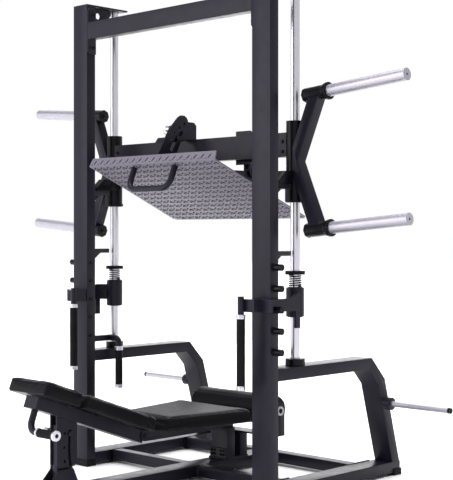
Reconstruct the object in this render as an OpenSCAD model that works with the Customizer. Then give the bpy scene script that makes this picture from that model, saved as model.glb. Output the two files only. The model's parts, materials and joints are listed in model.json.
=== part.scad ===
// Plate-loaded vertical leg press.
// The user lies on the bench with the head to the front (-Y) and presses the foot platform up
// along two guide rods. Dimensions are in millimetres, +Z up, the floor at Z = 0.
// Positions along Y are given from the front faces of the uprights, and placed() moves the
// whole machine so that the origin is under the middle of its outline.

/* [Frame] */
// Width over the outer faces of the uprights
frame_w = 1258; // [1200:1:1300]
// Width of the frame tube, across the machine
tube_w = 100; // [90:1:100]
// Thickness of the frame tube
tube_t = 50; // [44:1:50]
// Wall of the frame tube
tube_wall = 3; // [2:0.5:4]
// Height of the uprights, up to the top plates
upright_top = 2168; // [2150:1:2250]
// Top of the welded side frame
side_top = 545; // [535:1:550]
// Underside of the base tubes
base_z = 12; // [10:1:14]
// Rear end of the base rails
rail_end = 884; // [882:1:900]

/* [Guide rods] */
// Diameter of the guide rods
rod_d = 40; // [36:1:42]
// Distance of the rods behind the front faces of the uprights
rod_y = 212.3; // [210:0.1:214]
// Radial running clearance of every sliding or turning fit
run_gap = 0.05; // [0.02:0.01:0.1]

/* [Carriage] */
// Underside of the carriage sleeves
sleeve_z = 1226; // [1222:1:1230]
// Height of the carriage sleeves
sleeve_h = 341; // [330:1:345]
// Outer diameter of the carriage sleeves and of the stop sleeves
sleeve_d = 76; // [74:1:76]
// Diameter of the weight horns
horn_d = 50; // [48:0.5:50]
// Upward tilt of the weight horns
horn_tilt = 4.8; // [3:0.1:6]

/* [Foot platform] */
// Tilt of the foot plate at rest, front edge up
plate_tilt = 23; // [22:0.5:24]
// Length of the foot plate along its slope
plate_len = 608; // [600:1:612]
// Half width of the foot plate at its front edge
plate_half_front = 403; // [390:1:410]
// Half width of the foot plate at its rear edge
plate_half_rear = 426; // [410:1:430]
// Thickness of the foot plate
plate_t = 5; // [4:0.5:6]
// Angle between two holes of the tilt sector
sector_pitch = 8.2; // [7.5:0.1:8.5]

/* [Bench] */
// Slope of the backrest at rest
back_tilt = 20; // [19:0.5:21]
// Thickness of the pads
pad_t = 58; // [50:1:60]
// Top of the flat seat pad
seat_top = 315; // [313:1:316]
// Radius of the hip roller
roller_r = 69; // [60:1:72]
// Angle between two holes of the backrest fork
fork_pitch = 7.75; // [7.5:0.05:8]

/* [Safety stops] */
// Height of the peg that each stop hangs on
stop_peg_z = 787; // [786:1:788]
// Spacing of the height pegs
peg_pitch = 86; // [84:1:88]
// Diameter of the pegs
peg_d = 27; // [25:1:28]

/* [Hidden] */
$fn = 48;
cut = 1;                                   // overrun of cutting bodies

charcoal = [0.27, 0.26, 0.30];
black = [0.07, 0.07, 0.08];
chrome = [0.80, 0.80, 0.84];
tread = [0.62, 0.61, 0.67];

out_x = frame_w / 2;                       // outer face of the right upright
in_x = out_x - tube_w;                     // inner face of the right upright
rod_x = out_x - tube_w / 2 - 0.7;
rod_r = rod_d / 2;
base_top = base_z + tube_t;
sleeve_r = sleeve_d / 2;
bush_r = 25;                               // seat of the bushings and liners
foot_t = 5;                                // rubber standing proud of the tubes

beam_y = rod_y - 25;                       // front face of the carriage beam
beam_z = 1418;
beam_h = 102;

side_path = [[tube_t, side_top - 25.5], [664, side_top - 25.5], [747, 432], [860, 36]];

plate_front = [-90, 1401];                 // lower front edge of the foot plate, Y and Z
hinge = [290, 1370];                       // tilt hinge of the platform, Y and Z
sector_r = 255.5;                          // radius of the sector holes about the hinge
sector_pin = 52;                           // angle of the pulled hole above the front level
slot_r = 229;                              // radius of the guide slot
slot_pin = 43;                             // angle of the guide bolt in that slot
sector_x = -48;
sector_t = 8;

pivot = [-150, 230];                       // backrest pivot, Y and Z
fork_r = 421;                              // radius of the fork holes about the pivot
fork_pin = 7.9;                            // angle of the engaged fork hole
fork_slot_r = 395;
beam_n = 132;                              // underside of the backrest beam, along its normal
pad_n = 184;                               // underside of the back pads, along their normal
pin_r = 6;

roller = [468, 294];                       // axis of the hip roller, Y and Z
roller_half = 249;
seat_under = seat_top - pad_t;
seat_beam_z = seat_under - 52;

stop_z = 750;                              // underside of the stop sleeve
stop_h = 120;
spring_z = stop_z + stop_h + 3;
spring_h = 52;
grip_r = 18;
ring_r = 19.5;
lever = [-728.5, 314];                     // axis of the lever grip, Y and Z
lever_cap_r = 21;

y_front = lever[0] - lever_cap_r;
y_rear = rail_end + foot_t;

// ---------------------------------------------------------------- helpers

// Moves the machine so that the origin is under the middle of its outline
module placed(tint) color(tint) translate([0, -(y_front + y_rear) / 2, 0]) children();

// Builds the right-hand part, or its mirror image on the left
module on_side(side) mirror([side < 0 ? 1 : 0, 0, 0]) children();

module both_sides() for (side = [-1, 1]) on_side(side) children();

module block(low, high) translate(low) cube(high - low);

// Box with a through bore along one axis: 0 is X, 1 is Y and 2 is Z
module box_tube(low, high, along, wall = tube_wall) {
    inset = [for (i = [0:2]) i == along ? -cut : wall];
    difference() {
        block(low, high);
        block(low + inset, high - inset);
    }
}

module rod_along_x(x0, x1, at, r) translate([x0, at[0], at[1]]) rotate([0, 90, 0])
    cylinder(r = r, h = x1 - x0);

module rod_along_y(y0, y1, x, z, r) translate([x, y0, z]) rotate([-90, 0, 0])
    cylinder(r = r, h = y1 - y0);

module ring(r_out, r_in, z0, z1) translate([0, 0, z0]) difference() {
    cylinder(r = r_out, h = z1 - z0);
    translate([0, 0, -cut]) cylinder(r = r_in, h = z1 - z0 + 2 * cut);
}

// Extrudes an outline given in Y and Z along X
module plate_yz(x0, x1, outline) translate([x0, 0, 0]) rotate([90, 0, 90])
    linear_extrude(x1 - x0) polygon(outline);

// Extrudes an outline given in X and Z along Y
module plate_xz(y0, y1, outline) translate([0, y1, 0]) rotate([90, 0, 0])
    linear_extrude(y1 - y0) polygon(outline);

// Part of a disc with its centre on an X axis; angles are above the front level
module sector_yz(x0, x1, centre, r_in, r_out, a0, a1)
    translate([x0, centre[0], centre[1]]) rotate([0, 90, 0]) rotate([0, 0, -90 - a1])
        rotate_extrude(angle = a1 - a0) translate([r_in, 0]) square([r_out - r_in, x1 - x0]);

function on_arc(centre, r, a) = [centre[0] - r * cos(a), centre[1] + r * sin(a)];

function unit(v) = v / norm(v);
function normal(a, b) = let (d = unit(b - a)) [-d[1], d[0]];
// Mitred offset of point i of a path
function mitre(path, i, d) =
    let (n0 = normal(path[max(i - 1, 0)], path[max(i, 1)]),
         n1 = normal(path[min(i, len(path) - 2)], path[min(i + 1, len(path) - 1)]),
         m = unit(n0 + n1))
    path[i] + m * d / (m * n0);
// Outline of a bent bar of the given half thickness along a path
function bar(path, half) = concat(
    [for (i = [0:len(path) - 1]) mitre(path, i, half)],
    [for (i = [len(path) - 1:-1:0]) mitre(path, i, -half)]);
function stretched(path, by) = concat(
    [path[0] + unit(path[0] - path[1]) * by],
    [for (i = [1:len(path) - 2]) path[i]],
    [path[len(path) - 1] + unit(path[len(path) - 1] - path[len(path) - 2]) * by]);

// Frame of the foot plate: X across, Y down its slope to the rear, Z up from its lower face
module on_plate() translate([0, plate_front[0], plate_front[1]])
    rotate([-plate_tilt, 0, 0]) children();

// Frame of the backrest: Y along the slope to the rear, Z along its normal
module on_back() rotate([-back_tilt, 0, 0]) children();

// Cushion with round corners, tapered from one half width to the other
module cushion(y0, y1, half0, half1, z0, corner = 28) hull()
    for (side = [-1, 1], end = [[y0 + corner, half0], [y1 - corner, half1]])
        translate([side * (end[1] - corner), end[0], z0])
            cylinder(r = corner, h = pad_t, $fn = 32);

// ---------------------------------------------------------------- frame

module upright(side) placed(charcoal) on_side(side) {
    box_tube([in_x, 0, 4], [out_x, tube_t, upright_top], 2);
    for (top = [1300, 1024]) {
        block([rod_x - 25, tube_t, top - 20], [rod_x + 25, 158, top]);
        plate_yz(rod_x - 5, rod_x + 5,
            [[tube_t, top - 20], [120, top - 20], [tube_t, top - 74]]);
    }
}

module crossbar() placed(charcoal) {
    box_tube([-in_x + 8, 0, 2009], [in_x - 8, tube_t, 2089], 0);
    both_sides() plate_yz(in_x - 8, in_x,
        [[0, 1950], [10, 1940], [tube_t, 1940], [tube_t, 2158], [10, 2158], [0, 2148]]);
}

module top_plates() placed(charcoal) both_sides() {
    block([in_x, 0, upright_top], [out_x, 253, upright_top + 8]);
    difference() {
        plate_yz(rod_x - 5, rod_x + 5, [[tube_t, upright_top], [185, upright_top],
            [185, 2150], [150, 2104], [tube_t, 2104]]);
        rod_along_x(rod_x - 6, rod_x + 6, [105, 2136], 15);
    }
}

module guide_rod(side) placed(chrome) on_side(side)
    translate([rod_x, rod_y, side_top]) cylinder(r = rod_r, h = upright_top - side_top);

module rod_collars() placed(black) both_sides()
    translate([rod_x, rod_y, 0]) ring(41.5, rod_r + run_gap, side_top, side_top + 29);

module side_frame(side) placed(charcoal) on_side(side) {
    difference() {
        plate_yz(in_x, out_x, bar(side_path, tube_t / 2));
        plate_yz(in_x + tube_wall, out_x - tube_wall,
            bar(stretched(side_path, cut), tube_t / 2 - tube_wall));
        block([in_x - cut, 780, 0], [out_x + cut, rail_end + tube_t, base_top]);
    }
    rod_along_x(out_x, out_x + 36, [775, 334], 28);
}

module base_rail(side) placed(charcoal) on_side(side)
    box_tube([in_x, tube_t, base_z], [out_x, rail_end, base_top], 1);

module cross_tube_front() placed(charcoal) both_sides() {
    box_tube([58, 157, base_z], [in_x - 8, 207, base_top], 0);
    block([50, 147, base_z], [58, 217, base_top]);
    block([in_x - 8, 147, base_z], [in_x, 217, base_top]);
}

module cross_tube_rear() placed(charcoal) {
    box_tube([-in_x + 8, 648, base_z], [in_x - 8, 708, base_top], 0);
    both_sides() block([in_x - 8, 638, base_z], [in_x, 718, base_top]);
}

module centre_beam() placed(charcoal)
    box_tube([-50, -655, base_z], [50, 648, base_top], 1);

module height_pegs() placed(black) both_sides() for (i = [-2:2]) {
    at = [25, stop_peg_z + i * peg_pitch];
    rod_along_x(out_x, out_x + 4, at, peg_d / 2 + 3);
    rod_along_x(out_x + 4, out_x + 43, at, peg_d / 2);
    rod_along_x(in_x - 5, in_x, at, 9);
}

module storage_pegs() placed(chrome) both_sides() {
    rod_along_x(out_x + 36, out_x + 334, [775, 334], 12.5);
    rod_along_x(out_x + 334, out_x + 347, [775, 334], 12.4);
}

module rubber_feet() placed(black) {
    both_sides() {
        difference() {
            block([in_x - foot_t, -foot_t, 0], [out_x + foot_t, tube_t, 28]);
            block([in_x, 0, 4], [out_x, tube_t + cut, 28 + cut]);
        }
        difference() {
            block([in_x - foot_t, rail_end - 50, 0], [out_x + foot_t, rail_end + foot_t, 30]);
            block([in_x, rail_end - 50 - cut, base_z], [out_x, rail_end, 30 + cut]);
        }
    }
    difference() {
        block([-50 - foot_t, -655 - foot_t, 0], [50 + foot_t, -600, 30]);
        block([-50, -655, base_z], [50, -600 + cut, 30 + cut]);
    }
}

// ---------------------------------------------------------------- bench, fixed part

module seat_posts() placed(charcoal) {
    block([-50, 330, base_top], [50, 490, base_top + 8]);
    box_tube([-50, 350, base_top + 8], [50, 400, seat_beam_z], 2);
    box_tube([-50, 438, base_top + 8], [50, 483, 178], 2);
    block([-50, 338, base_top + 8], [50, 350, 112]);
}

module seat_beam() placed(charcoal) {
    box_tube([-40, -122, seat_beam_z], [40, 400, seat_beam_z + 50], 1);
    both_sides() difference() {
        union() {
            block([40, pivot[0], pivot[1] - 23], [48, -60, pivot[1] + 23]);
            rod_along_x(40, 48, pivot, 23);
        }
        rod_along_x(39, 49, pivot, 8 + run_gap);
    }
}

module seat_pad() placed(black) cushion(-125, 330, 173, 241, seat_under, 32);

module roller_bracket() placed(charcoal) {
    block([-262, 430, 178], [262, 506, 186]);
    both_sides() difference() {
        union() {
            block([254, 430, 186], [262, 506, roller[1]]);
            rod_along_x(254, 262, roller, 38);
        }
        rod_along_x(253, 263, roller, 8 + run_gap);
    }
}

module roller_axle() placed(chrome) {
    rod_along_x(-262, 262, roller, 8);
    both_sides() rod_along_x(262, 272, roller, 21);
}

module hand_grip_arms() placed(charcoal) both_sides() {
    block([530, tube_t, 585], [555, 165, 612]);
    rod_along_x(500, 530, [150, 598], 14);
    translate([500, 150, 572]) rotate([90, 0, 0]) rotate([0, 0, 90])
        rotate_extrude(angle = 90) translate([26, 0]) circle(r = 14);
    translate([474, 150, 561]) cylinder(r = 14, h = 11);
}

module hand_grips() placed(black) both_sides() translate([474, 150, 0]) {
    translate([0, 0, 542]) cylinder(r = ring_r, h = 19);
    translate([0, 0, 380]) cylinder(r = grip_r, h = 162);
    translate([0, 0, 363]) cylinder(r = ring_r, h = 17);
}

module backrest_post() placed(charcoal) difference() {
    union() {
        block([-15, -600, base_top], [15, -520, 322]);
        block([-31, -600, base_top], [-24, -530, 325]);
        both_sides() plate_yz(24, 31, [[-650, base_top], [-505, base_top],
            [-505, 90], [-528, 143], [-600, 143], [-650, 90]]);
        rod_along_x(-66, -31, on_arc(pivot, fork_r, fork_pin), 12);
        rod_along_x(-30, 30, on_arc(pivot, fork_slot_r, fork_pin), pin_r);
        rod_along_x(23.5, 30, on_arc(pivot, fork_slot_r, fork_pin), 10);
    }
    rod_along_x(-67, 0, on_arc(pivot, fork_r, fork_pin), pin_r + run_gap);
}

module pivot_pin() placed(black) {
    rod_along_x(-54, 54, pivot, 8);
    both_sides() rod_along_x(48, 53, pivot, 12);
}

module frame_bolts() placed(black) both_sides() {
    for (z = [1970, 2129], y = [14, 36]) rod_along_x(in_x - 15, in_x - 8, [y, z], 7);
    for (y = [152, 212, 643, 713]) rod_along_x(in_x - 14, in_x - 8, [y, 38], 4.5);
    for (z = [84, 101], x = [20, 38]) rod_along_y(331, 338, x, z, 5);
    rod_along_x(522, 530, [120, 598], 9);
}

// ---------------------------------------------------------------- carriage

module sleeve(side) placed(black) on_side(side) translate([rod_x, rod_y, 0])
    ring(sleeve_r, bush_r, sleeve_z, sleeve_z + sleeve_h);

module bushings() placed(black) both_sides() translate([rod_x, rod_y, 0])
    for (z = [sleeve_z, sleeve_z + sleeve_h - 60])
        ring(bush_r, rod_r + run_gap, z, z + 60);

module carriage_beam() placed(charcoal) {
    difference() {
        box_tube([-552, beam_y, beam_z], [552, beam_y + 50, beam_z + beam_h], 0, 4);
        for (side = [-1, 1]) translate([side * rod_x, rod_y, beam_z - cut])
            cylinder(r = sleeve_r + run_gap, h = beam_h + 2 * cut);
    }
    // Hinge plates behind the beam, with two ears each
    both_sides() {
        plate_xz(beam_y + 50, beam_y + 58, [[212, 1398], [296, 1398], [320, 1424],
            [320, 1520], [296, 1546], [212, 1546]]);
        for (x = [236, 263]) difference() {
            union() {
                block([x, beam_y + 58, 1400], [x + 10, hinge[0] + 28, 1470]);
                block([x, hinge[0] - 28, hinge[1]], [x + 10, hinge[0] + 28, 1400]);
                rod_along_x(x, x + 10, hinge, 28);
            }
            rod_along_x(x - cut, x + 10 + cut, hinge, 8 + run_gap);
        }
    }
    // Cheek of the pull pin, with its housing and the guide bolt of the sector slot
    pin_at = on_arc(hinge, sector_r, sector_pin);
    bolt_at = on_arc(hinge, slot_r, slot_pin);
    difference() {
        union() {
            plate_yz(sector_x - 12, sector_x - 4, [[beam_y + 1, beam_z + beam_h - 2],
                [252, beam_z + beam_h - 2], [252, 1588], [238, 1602], [158, 1604],
                [112, 1585], [100, 1530], [112, 1508], [140, 1506]]);
            rod_along_x(sector_x - 38, sector_x - 12, pin_at, 12);
        }
        rod_along_x(sector_x - 39, sector_x, pin_at, pin_r + run_gap);
    }
    rod_along_x(sector_x - 4, sector_x + 14, bolt_at, pin_r);
    rod_along_x(sector_x + 9, sector_x + 14, bolt_at, 10);
}

horn_inner = [[640, 1667.4], [652, 1108.9]];   // inner ends of the upper and lower hub axes
hub_len = 132;
spigot_r = 22;                                 // turned-down end of a horn inside its hub
horn_len = 518;
arm_path = [[712, 1672], [595.6, 1396], [716, 1114]];

// Frame of one horn: Z runs outward along its axis
module on_horn(at) translate([at[0], rod_y - 10, at[1]]) rotate([0, 90 - horn_tilt, 0])
    children();

module weight_arm(side) placed(charcoal) on_side(side) difference() {
    union() {
        plate_xz(rod_y - 35, rod_y + 15, bar(arm_path, 25));
        for (at = horn_inner) on_horn(at) {
            translate([0, 0, 8]) cylinder(r = 30, h = hub_len - 8);
            translate([0, 0, hub_len - 30]) cylinder(r1 = 30, r2 = 36, h = 20, $fn = 48);
            translate([0, 0, hub_len - 10]) cylinder(r = 36, h = 10);
        }
    }
    translate([rod_x, rod_y, sleeve_z]) cylinder(r = sleeve_r + run_gap, h = sleeve_h);
    for (at = horn_inner) on_horn(at) translate([0, 0, 20])
        cylinder(r = spigot_r + run_gap, h = hub_len);
}

module weight_horns() placed(chrome) both_sides() for (at = horn_inner) on_horn(at)
    difference() {
        union() {
            translate([0, 0, 20]) cylinder(r = spigot_r, h = hub_len);
            translate([0, 0, hub_len]) cylinder(r = horn_d / 2, h = horn_len - 12 - hub_len);
        }
        translate([0, 0, 20 - cut]) cylinder(r = spigot_r - 5, h = horn_len);
    }

module horn_caps() placed(chrome) both_sides() for (at = horn_inner) on_horn(at)
    difference() {
        translate([0, 0, horn_len - 12]) cylinder(r = horn_d / 2, h = 12);
        translate([0, 0, horn_len - 4]) cylinder(r = 5, h = 5);
    }

module platform_hinge_pins() placed(chrome) both_sides() {
    rod_along_x(233, 276, hinge, 8);
    rod_along_x(273.2, 281, hinge, 13);
    rod_along_x(228, 235.8, hinge, 13);
}

module rest_hook(side) placed(black) on_side(side) difference() {
    union() {
        translate([rod_x, rod_y, sleeve_z + 2]) cylinder(r = sleeve_r + 4, h = 12);
        // Part collar at the lug, clear of the weight arm on the outer side
        translate([rod_x, rod_y, 1304]) rotate([0, 0, 180]) rotate_extrude(angle = 105)
            square([sleeve_r + run_gap + 10, 26]);
        block([rod_x - 14, 164, sleeve_z + 4], [rod_x + 14, rod_y - 20, 1310]);
        plate_yz(rod_x - 20, rod_x + 20, [[86, 1300.5], [176, 1300.5], [176, 1356],
            [130, 1356], [86, 1314]]);
    }
    translate([rod_x, rod_y, sleeve_z]) cylinder(r = sleeve_r + run_gap, h = 140);
}

// ---------------------------------------------------------------- foot platform

module foot_plate() placed(tread) on_plate() {
    linear_extrude(plate_t) polygon([[-plate_half_front, 0], [plate_half_front, 0],
        [plate_half_rear, plate_len - 16], [plate_half_rear - 16, plate_len],
        [16 - plate_half_rear, plate_len], [-plate_half_rear, plate_len - 16]]);
    translate([0, plate_t, plate_t]) rotate([90, 0, 0]) linear_extrude(plate_t)
        polygon([[-plate_half_front, 0], [plate_half_front, 0],
            [plate_half_front - 7, 36], [7 - plate_half_front, 36]]);
}

// Top face of the foot plate at a given Y
function plate_top(y) =
    plate_front[1] - (y - plate_front[0]) * tan(plate_tilt) + plate_t / cos(plate_tilt);

module platform_brackets() placed(charcoal) {
    both_sides() difference() {
        union() {
            plate_yz(249, 260, [[187, plate_top(187)], [187, 1372], [240, 1372],
                [262, 1372], [318, 1372], [330, 1330], [420, plate_top(420)]]);
            rod_along_x(249, 260, hinge, 28);
        }
        rod_along_x(248, 261, hinge, 8 + run_gap);
    }
    on_plate() {
        both_sides() block([215, 20, plate_t], [245, 585, plate_t + 24]);
        for (y = [16, 545]) block([-215, y, plate_t], [215, y + 30, plate_t + 24]);
    }
}

module platform_handle() placed(charcoal) on_plate() translate([0, 38, 0]) {
    drop = 104;
    half = 130;
    bend = 44;
    tube_r = 13.5;
    both_sides() {
        translate([half, 0, bend - drop]) cylinder(r = tube_r, h = drop - bend);
        translate([half - bend, 0, bend - drop]) rotate([90, 0, 0]) rotate([0, 0, -90])
            rotate_extrude(angle = 90) translate([bend, 0]) circle(r = tube_r);
    }
    translate([bend - half, 0, -drop]) rotate([0, 90, 0])
        cylinder(r = tube_r, h = 2 * (half - bend));
}

module tilt_sector() placed(charcoal) difference() {
    x1 = sector_x + sector_t;
    plate_yz(sector_x, x1, [[-34, plate_top(-34)], [45, 1516], [74, 1564], [126, 1618],
        [142, 1628], [162, 1629], [178, 1621], [187, 1609], [188, 1597], [130, 1484],
        [57, plate_top(57)]]);
    for (i = [-2:1])
        rod_along_x(sector_x - cut, x1 + cut,
            on_arc(hinge, sector_r, sector_pin + i * sector_pitch), pin_r + run_gap);
    sector_yz(sector_x - cut, x1 + cut, hinge, slot_r - 9, slot_r + 9, 24.6, 53.4);
}

module tilt_pull_pin() placed(black) {
    at = on_arc(hinge, sector_r, sector_pin);
    rod_along_x(sector_x - 56, sector_x - 1, at, pin_r);
    rod_along_x(sector_x - 72, sector_x - 50, at, 14);
}

// ---------------------------------------------------------------- safety stops

module at_rod(side) on_side(side) translate([rod_x, rod_y, 0]) children();

module stop_liner(side) placed(black) at_rod(side) {
    ring(bush_r, rod_r + run_gap, stop_z - 3, stop_z + stop_h + 3);
    ring(31, bush_r, stop_z - 3, stop_z - 0.3);
    ring(31, bush_r, stop_z + stop_h + 0.3, stop_z + stop_h + 3);
}

module stop_bracket(side) placed(charcoal) on_side(side) {
    x0 = out_x + 5;
    x1 = out_x + 16;
    low = 779;
    high = 831;
    difference() {
        union() {
            translate([rod_x, rod_y, stop_z]) cylinder(r = sleeve_r, h = stop_h);
            plate_yz(x0, x1, [[-20, low], [142, low], [142, 707], [168, 707], [168, 851],
                [150, 851], [118, high], [-20, high]]);
            translate([0, 0, low]) linear_extrude(851 - low)
                polygon([[x0, 150], [x1, 150], [x1, 168], [rod_x + 30, rod_y - 18],
                    [rod_x + 20, rod_y - 30]]);
            block([in_x, -20, low], [x1 + 8, -8, high]);
            block([in_x, -62, low], [in_x + 68, -20, high]);
            translate([536, -74, 768]) cylinder(r = 13, h = 74);
        }
        block([x0 - cut, -4, low - cut], [x1 + cut, 41, stop_peg_z + peg_d / 2 + 0.4]);
        translate([rod_x, rod_y, stop_z - cut])
            cylinder(r = bush_r + run_gap, h = stop_h + 2 * cut);
    }
}

module stop_grip(side) placed(black) on_side(side) translate([536, -74, 0]) {
    translate([0, 0, 751]) cylinder(r = ring_r, h = 17);
    translate([0, 0, 480]) cylinder(r = grip_r, h = 271);
    translate([0, 0, 462]) cylinder(r = ring_r, h = 18);
}

// Coil spring as one swept body, its turns worked out along the helix
module coil(r, wire, z0, z1, turns, steps = 24, sides = 10) {
    rings = turns * steps;
    points = [for (i = [0:rings], j = [0:sides - 1])
        let (a = 360 * i / steps, b = 360 * j / sides, d = r + wire * cos(b))
        [d * cos(a), d * sin(a), z0 + wire + (z1 - z0 - 2 * wire) * i / rings + wire * sin(b)]];
    faces = concat(
        [[for (j = [0:sides - 1]) j]],
        [for (i = [0:rings - 1], j = [0:sides - 1])
            [i * sides + j, (i + 1) * sides + j, (i + 1) * sides + (j + 1) % sides,
             i * sides + (j + 1) % sides]],
        [[for (j = [sides - 1:-1:0]) rings * sides + j]]);
    polyhedron(points, faces);
}

module stop_spring(side) placed(chrome) at_rod(side)
    coil(25.5, 2.4, spring_z, spring_z + spring_h, 5);

module stop_bumper(side) placed(black) at_rod(side)
    ring(41.5, rod_r + run_gap, spring_z + spring_h, spring_z + spring_h + 15);

// ---------------------------------------------------------------- bench, tilting part

back_end = -222;                           // rear end of the backrest beam along its slope
beam_front = -822;

module backrest_beam() placed(charcoal) difference() {
    union() {
        on_back() {
            box_tube([-39.7, beam_front, beam_n], [39.7, back_end, beam_n + 50], 1);
            block([-39.7, beam_front, beam_n], [39.7, beam_front + 3, beam_n + 50]);
            block([-39.7, back_end - 44, beam_n], [39.7, back_end, beam_n + 50]);
        }
        rod_along_x(-39, 39, pivot, 23);
        both_sides() difference() {
            plate_yz(16, 23, [[-607, 367], [-504, 330], [-504, 162], [-516, 150],
                [-595, 150], [-607, 162]]);
            for (i = [0:2]) rod_along_x(15, 24,
                on_arc(pivot, fork_r, fork_pin - i * fork_pitch), pin_r + run_gap);
            sector_yz(15, 24, pivot, fork_slot_r - 7, fork_slot_r + 7, -11.4, 10.1);
        }
    }
    rod_along_x(-41, 41, pivot, 8 + run_gap);
}

module head_pad() placed(black) on_back() cushion(-864, -667, 130, 136, pad_n, 20);

module back_pad() placed(black) on_back() cushion(-657, -267, 137, 164, pad_n, 22);

lever_s = -792;                            // place of the lever along the beam
lever_n = 46;                              // its grip axis along the beam's normal
lever_bend = 42;

module lever_handle() placed(charcoal) on_back() translate([0, lever_s, 0]) {
    translate([0, 0, lever_n + lever_bend]) cylinder(r = 14, h = beam_n - lever_n - lever_bend);
    translate([lever_bend, 0, lever_n + lever_bend]) rotate([90, 0, 0]) rotate([0, 0, 180])
        rotate_extrude(angle = 90) translate([lever_bend, 0]) circle(r = 14);
    translate([lever_bend, 0, lever_n]) rotate([0, 90, 0]) cylinder(r = 14, h = 16);
}

module lever_grip() placed(black) {
    rod_along_x(58, 68, lever, ring_r);
    rod_along_x(68, 166, lever, grip_r);
    rod_along_x(166, 178, lever, lever_cap_r);
}

module backrest_pull_pin() placed(black) {
    at = on_arc(pivot, fork_r, fork_pin);
    rod_along_x(-84, -24, at, pin_r);
    rod_along_x(-102, -78, at, 13);
}

module hip_roller() placed(black) difference() {
    rod_along_x(-roller_half, roller_half, roller, roller_r);
    rod_along_x(-roller_half - cut, roller_half + cut, roller, 8 + run_gap);
}

upright(-1);  // upright_left
upright(1);  // upright_right
crossbar();
top_plates();
guide_rod(-1);  // guide_rod_left
guide_rod(1);  // guide_rod_right
rod_collars();
side_frame(-1);  // side_frame_left
side_frame(1);  // side_frame_right
base_rail(-1);  // base_rail_left
base_rail(1);  // base_rail_right
cross_tube_front();
cross_tube_rear();
centre_beam();
height_pegs();
storage_pegs();
rubber_feet();
seat_posts();
seat_beam();
seat_pad();
roller_bracket();
roller_axle();
hand_grip_arms();
hand_grips();
backrest_post();
pivot_pin();
frame_bolts();
sleeve(-1);  // sleeve_left
sleeve(1);  // sleeve_right
bushings();
carriage_beam();
weight_arm(-1);  // weight_arm_left
weight_arm(1);  // weight_arm_right
weight_horns();
horn_caps();
platform_hinge_pins();
foot_plate();
platform_brackets();
platform_handle();
tilt_sector();
tilt_pull_pin();
rest_hook(-1);  // rest_hook_left
rest_hook(1);  // rest_hook_right
stop_liner(-1);  // stop_liner_left
stop_liner(1);  // stop_liner_right
stop_bracket(-1);  // stop_bracket_left
stop_bracket(1);  // stop_bracket_right
stop_grip(-1);  // stop_grip_left
stop_grip(1);  // stop_grip_right
stop_spring(-1);  // stop_spring_left
stop_spring(1);  // stop_spring_right
stop_bumper(-1);  // stop_bumper_left
stop_bumper(1);  // stop_bumper_right
backrest_beam();
head_pad();
back_pad();
lever_handle();
lever_grip();
backrest_pull_pin();
hip_roller();
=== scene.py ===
"""Looks of the plate-loaded vertical leg press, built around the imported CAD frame."""
import json
import math

import bmesh
import bpy
from mathutils import Matrix, Vector
from mathutils.bvhtree import BVHTree

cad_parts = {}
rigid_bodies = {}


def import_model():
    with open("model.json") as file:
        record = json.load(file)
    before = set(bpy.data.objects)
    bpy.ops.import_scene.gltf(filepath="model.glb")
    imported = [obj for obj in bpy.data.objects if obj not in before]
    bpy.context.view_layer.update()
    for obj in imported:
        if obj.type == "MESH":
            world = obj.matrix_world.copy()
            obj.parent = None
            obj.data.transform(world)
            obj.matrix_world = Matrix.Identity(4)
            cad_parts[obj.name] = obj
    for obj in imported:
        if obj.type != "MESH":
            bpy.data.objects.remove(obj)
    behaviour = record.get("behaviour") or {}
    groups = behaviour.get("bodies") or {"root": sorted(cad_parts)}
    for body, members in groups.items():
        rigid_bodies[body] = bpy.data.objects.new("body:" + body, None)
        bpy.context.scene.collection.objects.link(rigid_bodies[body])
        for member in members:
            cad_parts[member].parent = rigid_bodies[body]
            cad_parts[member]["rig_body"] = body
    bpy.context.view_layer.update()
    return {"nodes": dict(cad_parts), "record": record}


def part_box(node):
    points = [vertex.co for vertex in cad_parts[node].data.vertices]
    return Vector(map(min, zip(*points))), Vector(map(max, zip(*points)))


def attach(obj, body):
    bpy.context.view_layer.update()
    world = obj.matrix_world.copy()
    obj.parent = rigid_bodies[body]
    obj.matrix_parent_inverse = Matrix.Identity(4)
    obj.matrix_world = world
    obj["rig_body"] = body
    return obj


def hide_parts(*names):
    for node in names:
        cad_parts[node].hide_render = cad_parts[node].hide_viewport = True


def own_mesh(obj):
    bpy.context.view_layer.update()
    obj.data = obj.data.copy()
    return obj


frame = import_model()
NODES = frame["nodes"]
# The front faces of the uprights; places behind or before them are measured from here
FRONT_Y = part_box("upright_left")[0].y
SIDES = ("left", "right")
MM = 0.001
SCENE = bpy.context.scene
SCENE.view_settings.view_transform = "Standard"
SCENE.view_settings.look = "None"


# ------------------------------------------------------------------ materials

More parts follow.
